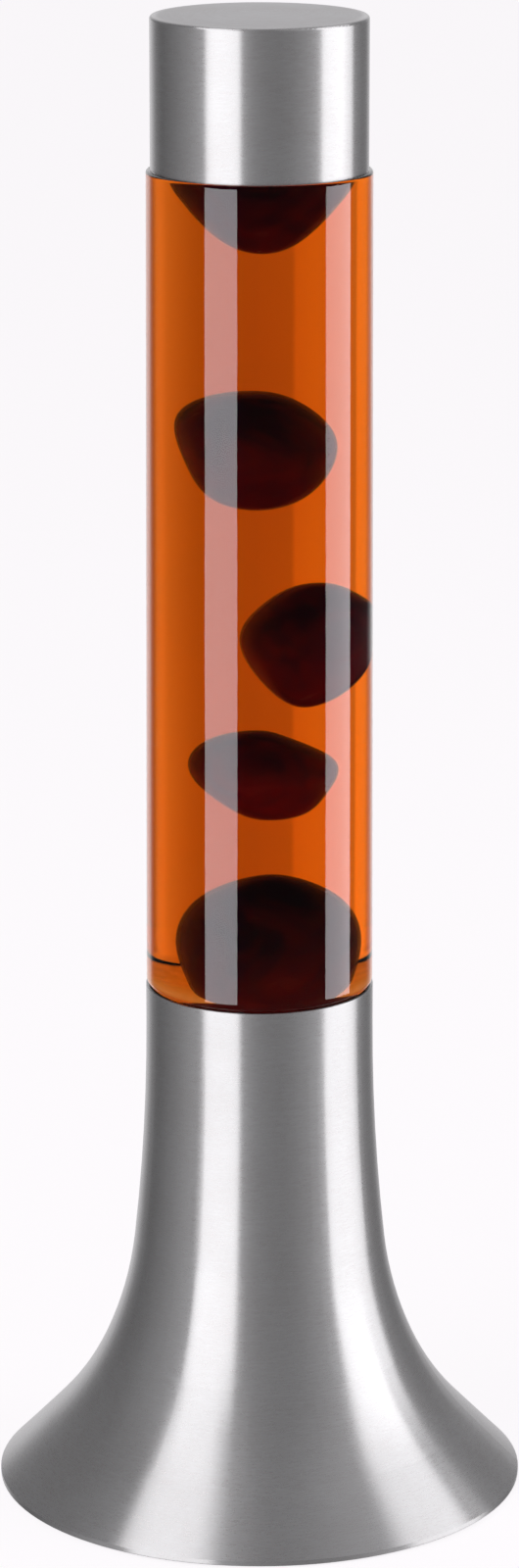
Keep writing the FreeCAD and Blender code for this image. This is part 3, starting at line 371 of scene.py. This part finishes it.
def blob(name, level, half_height, girth, middle, sway=(0.0,), squash=1.0, rows=72, segments=120,
         floor=None):
    """Closed wax form as a stack of rounds. With u from -1 at the bottom to 1 at the top, girth
    times the ellipse is the radius, and middle and sway are the rounds' centre in x and y, all
    in millimetres as polynomials in u."""
    bm = bmesh.new()
    rings = []
    for k in range(rows + 1):
        u = -math.cos(math.pi * k / rows)
        z = level + half_height * u
        if floor is not None:
            z = max(z, floor)
        r = math.sqrt(max(1 - u * u, 0.0)) * polynomial(girth, u)
        cx, cy = polynomial(middle, u), polynomial(sway, u)
        if k in (0, rows):
            rings.append([bm.verts.new((cx * MM, cy * MM, z * MM))])
            continue
        rings.append([])
        for i in range(segments):
            a = 2 * math.pi * i / segments
            swell = 1 + 0.010 * math.cos(2 * a + 1.3 + 1.5 * u) + 0.006 * math.cos(3 * a - 2.0 * u)
            rings[-1].append(bm.verts.new(((cx + r * swell * math.cos(a)) * MM,
                                           (cy + r * swell * squash * math.sin(a)) * MM, z * MM)))
    for a, b in zip(rings, rings[1:]):
        for i in range(segments):
            j = (i + 1) % segments
            if len(a) == 1:
                face = bm.faces.new((a[0], b[j], b[i]))
            elif len(b) == 1:
                face = bm.faces.new((a[i], a[j], b[0]))
            else:
                face = bm.faces.new((a[i], a[j], b[j], b[i]))
            face.smooth = True
    bmesh.ops.recalc_face_normals(bm, faces=bm.faces)
    mesh = bpy.data.meshes.new(name)
    bm.to_mesh(mesh)
    bm.free()
    piece = bpy.data.objects.new(name, mesh)
    scene.collection.objects.link(piece)
    return piece


def dress(piece, *materials):
    for material in materials:
        piece.data.materials.append(material)
    return piece


def dress_node(name, material):
    for slot in NODES[name].material_slots:
        slot.material = material


# ------------------------------------------------------------------ camera

camera_data = bpy.data.cameras.new("camera")
camera = bpy.data.objects.new("camera", camera_data)
scene.collection.objects.link(camera)
camera_data.sensor_fit = "VERTICAL"
camera_data.sensor_height = 36.0
camera_data.lens = 127.43
camera_data.clip_start = 0.01
camera_data.clip_end = 60.0
camera.location = (0.0, -1.4283, 0.5741)
camera.rotation_euler = (math.radians(75.117), 0.0, 0.0)
scene.camera = camera

# ------------------------------------------------------------------ metal parts

dress_node("base_shell", brushed_metal("spun_aluminium", (0.70, 0.69, 0.70), (0.86, 0.86, 0.87), 0.28, 0.95))
dress_node("top_cap", brushed_metal("cap_aluminium", (0.70, 0.69, 0.70), (0.86, 0.86, 0.87), 0.28, 0.95,
                                    disc_level=0.39885))
raw_aluminium = brushed_metal("turned_aluminium", (0.55, 0.55, 0.56), (0.80, 0.80, 0.81), 0.42, 0.5)
for node in ("seat_ring", "seat_sleeve"):
    dress_node(node, raw_aluminium)
dress_node("plate_lugs", sheet_metal("cast_aluminium", (0.48, 0.48, 0.49), (0.70, 0.70, 0.71), 0.45, 500.0))
zinc = sheet_metal("zinc_plate", (0.42, 0.44, 0.47), (0.66, 0.68, 0.70), 0.34, 320.0)
for node in ("plate_screws", "holder_bracket", "bracket_screws", "nipple_washer",
             "threaded_nipple", "nipple_nut", "terminal_screws"):
    dress_node(node, zinc)
dress_node("heat_coil", sheet_metal("coil_wire", (0.40, 0.38, 0.36), (0.62, 0.60, 0.57), 0.30, 700.0))
brass = sheet_metal("stamped_brass", (0.52, 0.36, 0.13), (0.80, 0.60, 0.28), 0.28, 420.0)
for node in ("lampholder_screw_shell", "lampholder_centre_contact", "terminal_blocks",
             "bulb_contact_tip"):
    dress_node(node, brass)
dress_node("bulb_screw_cap", sheet_metal("rolled_cap", (0.58, 0.55, 0.48), (0.82, 0.79, 0.70), 0.24, 520.0))
dress_node("bulb_filament", sheet_metal("filament_wire", (0.20, 0.20, 0.21), (0.42, 0.42, 0.43), 0.40, 900.0))
dress_node("crown_cap", sheet_metal("lacquered_tinplate", (0.55, 0.50, 0.40), (0.78, 0.73, 0.60), 0.27, 380.0,
                                    bump=0.08))

# ------------------------------------------------------------------ rubber, plastic, paint

rubber = plain_surface("black_rubber", (0.012, 0.012, 0.013), (0.034, 0.034, 0.036), 0.62, 1400.0, 0.25)
for node in ("bottle_gasket", "rubber_feet", "cord_grommet"):
    dress_node(node, rubber)
dress_node("bottom_plate", plain_surface("powder_coat", (0.018, 0.018, 0.020), (0.050, 0.050, 0.054),
                                         0.50, 1100.0, 0.35, 0.00015))
bakelite = plain_surface("moulded_holder", (0.016, 0.015, 0.015), (0.040, 0.038, 0.037), 0.34, 500.0, 0.10,
                         coat=0.2)
for node in ("lampholder_cap", "lampholder_body"):
    dress_node(node, bakelite)
dress_node("lampholder_contact_block", plain_surface("steatite", (0.62, 0.58, 0.50), (0.80, 0.77, 0.69),
                                                     0.30, 420.0, 0.12, coat=0.5))
dress_node("bulb_insulator", plain_surface("black_vitrite", (0.006, 0.006, 0.012), (0.020, 0.020, 0.034),
                                           0.12, 300.0, 0.05, coat=0.6))
dress_node("crown_liner", plain_surface("sealing_compound", (0.60, 0.60, 0.57), (0.78, 0.78, 0.75), 0.5,
                                        800.0, 0.12))
dress_node("cap_insert", plain_surface("moulded_insert", (0.030, 0.030, 0.032), (0.075, 0.075, 0.078), 0.45,
                                       700.0, 0.14))

# ------------------------------------------------------------------ bulb glass

frost = Tree("satin_bulb")
frost.put("Base Color", (0.94, 0.95, 0.96))
frost.put("Transmission Weight", 1.0)
frost.put("IOR", 1.5)
split = frost.new("ShaderNodeSeparateXYZ")
frost.link(frost.position(), split.inputs[0])
etch = frost.noise(frost.position(), 900.0, 3.0, 0.6)
matt = frost.spread(split.outputs[2], 0.098, 0.108, 0.03, 0.42)
frost.put("Roughness", frost.math("ADD", matt, frost.math("MULTIPLY", etch, 0.05)))
frost.put("Normal", frost.bump(etch, 0.05, 0.0001))
dress_node("bulb_glass", frost.mat)
dress_node("bulb_stem", clear_glass("stem_glass", 1.5, (0.92, 0.95, 0.94), 0.02, 0.2))

# ------------------------------------------------------------------ bottle

LIQUID_TOP = 371.0
glass_outside = trace([
    (0, 132.3), (25.9, 132.3, 1.5), (27.4, 133.8), (27.4, 139.5), (28.77, 139.5, 2.6),
    (30.37, 141.9), (29.55, 358.3, 0.8), (28.75, 359.1), (27.1, 359.1), (27.1, 364.5, 7.0),
    (22.5, 370.7), (15.4, 376.0, -5.0), (12.4, 380.2), (12.4, 385.0), (13.2, 386.0),
    (13.2, 390.0, 1.0), (12.2, 391.0)])
glass_inside = soften([
    (9.6, 391.0), (9.6, 380.0), (15.6, 373.0), (23.65, 366.5), (25.05, 362.0), (27.05, 356.0),
    (27.87, 143.3), (26.4, 140.6), (25.0, 138.0), (23.8, 136.3), (0.0, 136.3)], 0.42)


def at_level(points, level):
    """Splits a falling polyline at a height; returns the parts above and below."""
    for k, (p, q) in enumerate(zip(points, points[1:])):
        if p[1] >= level > q[1]:
            s = (p[1] - level) / (p[1] - q[1])
            cut = (p[0] + (q[0] - p[0]) * s, level)
            return points[:k + 1] + [cut], [cut] + points[k + 1:]
    return points, []


dry, wet = at_level(glass_inside, LIQUID_TOP)
wet = held(wet)
wet_bands = {((p[0] + q[0]) / 2, (p[1] + q[1]) / 2) for p, q in zip(wet, wet[1:])}
# Material 0 outside and dry, 1 where the liquid wets the wall, 2 on the ground heel in the neck, which glows with
# painted light.
bottle_glass = lathe("bottle_glass", held(glass_outside) + held(dry) + wet[1:],
                     lambda r, z: 1 if (r, z) in wet_bands else 2 if z < 139.5001 else 0)
heel_painted_glow = Tree("heel_painted_glow")
grit = heel_painted_glow.noise(heel_painted_glow.position(), 900.0, 4.0, 0.6)
heel_painted_glow.put("Base Color", heel_painted_glow.ramp(grit, (0.32, (0.36, 0.35, 0.33)), (0.68, (0.52, 0.51, 0.48))))
heel_painted_glow.put("Roughness", heel_painted_glow.spread(grit, 0.3, 0.7, 0.50, 0.62))
heel_painted_glow.put("Normal", heel_painted_glow.bump(grit, 0.2, 0.0001))
# Painted light: the emission makes the heel glow as if light reached it through the liquid, though it is no lamp.
heel_painted_glow.put("Emission Color", heel_painted_glow.ramp(grit, (0.32, (0.80, 0.76, 0.70)), (0.68, (1.0, 0.97, 0.92))))
heel_painted_glow.put("Emission Strength", 0.55)
dress(bottle_glass, clear_glass("flint_glass", 1.5, (0.985, 0.99, 0.99), 0.0, 0.12),
      clear_glass("wetted_glass", 1.103, (0.995, 0.995, 0.995), 0.0, 0.10),
      heel_painted_glow.mat)
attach(bottle_glass, "bottle")
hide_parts("glass_vessel")

GAP = 0.04
surface_r = wet[0][0] - GAP * 2
liquid_side = []
for r, z in wet:
    if r < 1e-6:
        liquid_side.append((0.0, z + GAP))
    else:
        liquid_side.append((max(r - GAP * 1.5, 0.0), max(z, 136.3) + (GAP if z < 143.5 else 0.0)))
liquid_side[0] = (surface_r, LIQUID_TOP)
liquid_fill = lathe("liquid_fill", [(0.0, LIQUID_TOP)] + liquid_side,
                    lambda r, z: 1 if z > LIQUID_TOP - 1e-4 else 0)
dress(liquid_fill, liquid_material("orange_liquid", 1.0), liquid_material("liquid_surface", 1.36))
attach(liquid_fill, "bottle")
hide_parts("orange_liquid")

# ------------------------------------------------------------------ wax

forms = {
    "egg_wax": (286.5, 15.72, (15.16, 2.16, 0.98, -2.57, 0.69, 1.23), (-0.33, -2.15, -3.42, 1.1, 2.7, 0.64)),
    "drop_wax": (234.2, 16.72, (14.86, 2.5, -5.76, -4.49, 2.68, 3.79), (11.07, 0.03, -1.1, -0.04, -0.09, 0.82)),
    "lens_wax": (199.1, 12.12, (14.35, 2.13, -4.96, -3.44, 3.63, 0.33), (0.83, -1.35, -1.17, -5.06, 1.2, 5.04)),
    "mound_wax": (151.6, 20.1, (18.0, -0.44, -0.36, -0.6, 5.2, -7.47), (1.86, -0.35, 0.62, -0.34, -0.6, 1.06)),
    "pool_wax": (353.1, 14.85, (16.2, 7.5, 1.9, -1.42), (0.4, 0.5, 0.6)),
}
# Name, body, node, the heights (metres) over which the painted glow of light through the wax fades out upwards, the
# near-black red of the wax and the redder colour of the painted glow.
pieces = [
    ("egg_wax", "egg_blob", "wax_egg", 0.274, 0.296, 0.020, 0.19),
    ("drop_wax", "drop_blob", "wax_drop", 0.221, 0.243, 0.027, 0.21),
    ("lens_wax", "lens_blob", "wax_lens", 0.189, 0.206, 0.036, 0.26),
    ("mound_wax", "bottle", "wax_mound", 0.137, 0.168, 0.012, 0.105),
    ("pool_wax", "bottle", "wax_top_pool", 0.340, 0.362, 0.017, 0.150)]
for name, body, node, low, high, deep, warm in pieces:
    piece = blob(name, *forms[name], floor=136.45 if name == "mound_wax" else None)
    dress(piece, wax_material(name + "_dye_and_painted_glow", (deep, 0.0010, 0.070), (warm, 0.006, 0.060), low, high))
    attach(piece, body)
    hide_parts(node)

# ------------------------------------------------------------------ studio

floor_mesh = bpy.data.meshes.new("studio_floor")
half = 14.0
floor_mesh.from_pydata([(-half, -half, 0), (half, -half, 0), (half, half, 0), (-half, half, 0)], [], [(0, 1, 2, 3)])
floor = bpy.data.objects.new("studio_floor", floor_mesh)
scene.collection.objects.link(floor)
pale = Tree("studio_paper")
pale.put("Base Color", (0.25, 0.25, 0.25))
pale.put("Roughness", 0.9)
pale.put("Specular IOR Level", 0.0)
pale.put("Emission Color", (1.0, 0.975, 1.0))
pale.put("Emission Strength", 0.87)
floor_mesh.materials.append(pale.mat)
floor.visible_glossy = False
floor.visible_transmission = False


def light_panel(name, corners, radiance, on_bottle=None):
    """Rectangular light nearest to four corners: lower left, lower right, upper right, upper left
    as seen from the lamp. on_bottle: True lights the bottle's glass alone, False all but that."""
    a, b, c, d = [Vector(corner) for corner in corners]
    across = ((b - a) + (c - d)) / 2
    up = ((d - a) + (c - b)) / 2
    x = across.normalized()
    y = (up - up.dot(x) * x).normalized()
    data = bpy.data.lights.new(name, "AREA")
    data.shape = "RECTANGLE"
    data.size = across.length
    data.size_y = up.dot(y)
    data.energy = radiance * math.pi * data.size * data.size_y
    data.color = (1.0, 0.965, 1.03) if on_bottle else (1.0, 0.99, 1.0)
    item = bpy.data.objects.new(name, data)
    item.matrix_world = Matrix.LocRotScale((a + b + c + d) / 4, Matrix((x, y, x.cross(y))).transposed(),
                                           None)
    item.visible_transmission = False
    scene.collection.objects.link(item)
    if on_bottle is not None:
        lit = bpy.data.collections.new(name + "_reach")
        lit.objects.link(bottle_glass)
        if not on_bottle:
            lit.collection_objects[0].light_linking.link_state = "EXCLUDE"
        item.light_linking.receiver_collection = lit
    return item


def upright(distance, first, last, low, high):
    """Corners of an upright panel between two bearings (degrees from the camera's side, positive
    to the right) and two heights."""
    middle, half = math.radians((first + last) / 2), math.radians(abs(last - first) / 2)
    out = Vector((math.sin(middle), -math.cos(middle), 0)) * distance
    side = Vector((math.cos(middle), math.sin(middle), 0)) * distance * math.tan(half)
    return [out - side + Vector((0, 0, low)), out + side + Vector((0, 0, low)),
            out + side + Vector((0, 0, high)), out - side + Vector((0, 0, high))]


def leaning(distance, aims):
    """Corners of a panel square to the mean of four aims, each (bearing, elevation) in degrees."""
    ways = [Vector((math.sin(math.radians(a)) * math.cos(math.radians(e)),
                    -math.cos(math.radians(a)) * math.cos(math.radians(e)),
                    math.sin(math.radians(e)))) for a, e in aims]
    middle = sum(ways, Vector()).normalized()
    return [way * (distance / way.dot(middle)) for way in ways]


REACH = 1.5
light_panel("softbox_left", upright(REACH, -58.0, -19.5, -0.9, 1.0), 1.05, False)
light_panel("softbox_left_top", leaning(1.7, [(-67, 33), (-25, 40), (-55, 75), (-101, 60)]), 1.0, False)
light_panel("softbox_right", upright(REACH, 68.0, 114.0, -0.9, 0.6), 0.92, False)
light_panel("softbox_right_top", leaning(1.7, [(60, 21), (97, 12), (117, 36), (95, 55)]), 0.90, False)
light_panel("strip_left", upright(REACH, -56.5, -22.2, -0.33, 0.20), 5.1, True)
light_panel("strip_right", upright(REACH, 70.0, 104.0, -0.33, 0.20), 4.8, True)

# The room by bearing: (degrees from the camera's side, tone). LOW and HIGH are what satin metal
# mirrors below and above the horizon, CRISP what polished faces mirror, and BEHIND what shows
# through glass and liquid.
LOW = [(-180, 0.85), (-158, 0.60), (-140, 0.20), (-125, 0.12), (-109, 0.17), (-92, 0.23),
       (-70, 0.34), (-14, 0.34), (-5, 0.25), (8, 0.215), (22, 0.20), (35, 0.225), (50, 0.29),
       (66, 0.42), (118, 0.30), (135, 0.19), (150, 0.19), (163, 0.50), (180, 0.85)]
HIGH = [(-180, 0.62), (-166, 0.45), (-152, 0.22), (-140, 0.17), (-109, 0.17), (-92, 0.23), (-70, 0.32), (-14, 0.32),
        (-5, 0.25), (8, 0.215), (22, 0.20), (35, 0.225), (50, 0.29), (66, 0.40), (118, 0.30),
        (135, 0.20), (150, 0.24), (165, 0.48), (180, 0.62)]
CRISP = [(-180, 1.05), (-149, 1.05), (-142, 0.30), (-136, 0.06), (-100, 0.03), (-60, 0.02), (60, 0.02),
         (100, 0.03), (140, 0.05), (150, 0.40), (158, 1.0), (180, 1.05)]
BEHIND = [(-180, 0.62), (-173, 0.64), (-171.2, 0.66), (-170.2, 0.92), (-164, 0.96), (-153, 0.92),
          (-147, 0.88), (-143.5, 0.82), (-141.5, 1.35), (-131, 1.45), (-126, 1.05), (-119, 0.80),
          (-104, 0.80), (-85, 0.45), (85, 0.45), (104, 0.95), (112, 0.95), (122, 0.55), (130, 0.60),
          (136, 1.05), (141, 1.10), (147, 0.85), (156, 0.70), (162, 0.60), (180, 0.60)]

world = bpy.data.worlds.new("studio")
scene.world = world
world.use_nodes = True
wt = world.node_tree
wt.nodes.clear()


def world_node(kind, *feeds, **settings):
    node = wt.nodes.new(kind)
    for key, value in settings.items():
        setattr(node, key, value)
    for socket, value in zip(node.inputs, feeds):
        if isinstance(value, bpy.types.NodeSocket):
            wt.links.new(value, socket)
        elif value is not None:
            socket.default_value = value
    return node


def room_ramp(turn, stops):
    """Tones by bearing. A ramp holds 32 stops at most."""
    node = world_node("ShaderNodeValToRGB", turn)
    elements = node.color_ramp.elements
    while len(elements) < len(stops):
        elements.new(0.5)
    for element, (bearing, tone) in zip(elements, stops):
        element.position = (bearing + 180) / 360
        element.color = (tone / 2, tone * 0.985 / 2, tone / 2, 1)
    return node.outputs[0]


path = world_node("ShaderNodeLightPath")
way = world_node("ShaderNodeTexCoord")
parts = world_node("ShaderNodeSeparateXYZ", way.outputs["Generated"])
front = world_node("ShaderNodeMath", parts.outputs[1], -1.0, operation="MULTIPLY")
bearing = world_node("ShaderNodeMath", parts.outputs[0], front.outputs[0], operation="ARCTAN2")
turn = world_node("ShaderNodeMapRange", bearing.outputs[0], -math.pi, math.pi)
seen = world_node("ShaderNodeBackground", (0.97, 0.95, 0.97, 1), 1.0)
depth = world_node("ShaderNodeMapRange", parts.outputs[2], -0.285, -0.205, 2.22, 1.98)
behind = world_node("ShaderNodeBackground", room_ramp(turn.outputs[0], BEHIND), depth.outputs[0])
rise = world_node("ShaderNodeMapRange", parts.outputs[2], -0.02, 0.10)
low = world_node("ShaderNodeBackground", room_ramp(turn.outputs[0], LOW), 2.0)
high = world_node("ShaderNodeBackground", room_ramp(turn.outputs[0], HIGH), 2.0)
crisp = world_node("ShaderNodeBackground", room_ramp(turn.outputs[0], CRISP), 2.0)
satin = world_node("ShaderNodeMixShader", rise.outputs[0], low.outputs[0], high.outputs[0])
mirrored = world_node("ShaderNodeMixShader", path.outputs["Is Singular Ray"], satin.outputs[0],
                      crisp.outputs[0])
around = world_node("ShaderNodeMixShader", path.outputs["Is Transmission Ray"], mirrored.outputs[0],
                    behind.outputs[0])
whole = world_node("ShaderNodeMixShader", path.outputs["Is Camera Ray"], around.outputs[0],
                   seen.outputs[0])
world_node("ShaderNodeOutputWorld", whole.outputs[0])

scene.view_settings.view_transform = "Standard"
scene.view_settings.look = "None"
scene.view_settings.exposure = 0.0
scene.view_settings.gamma = 1.0
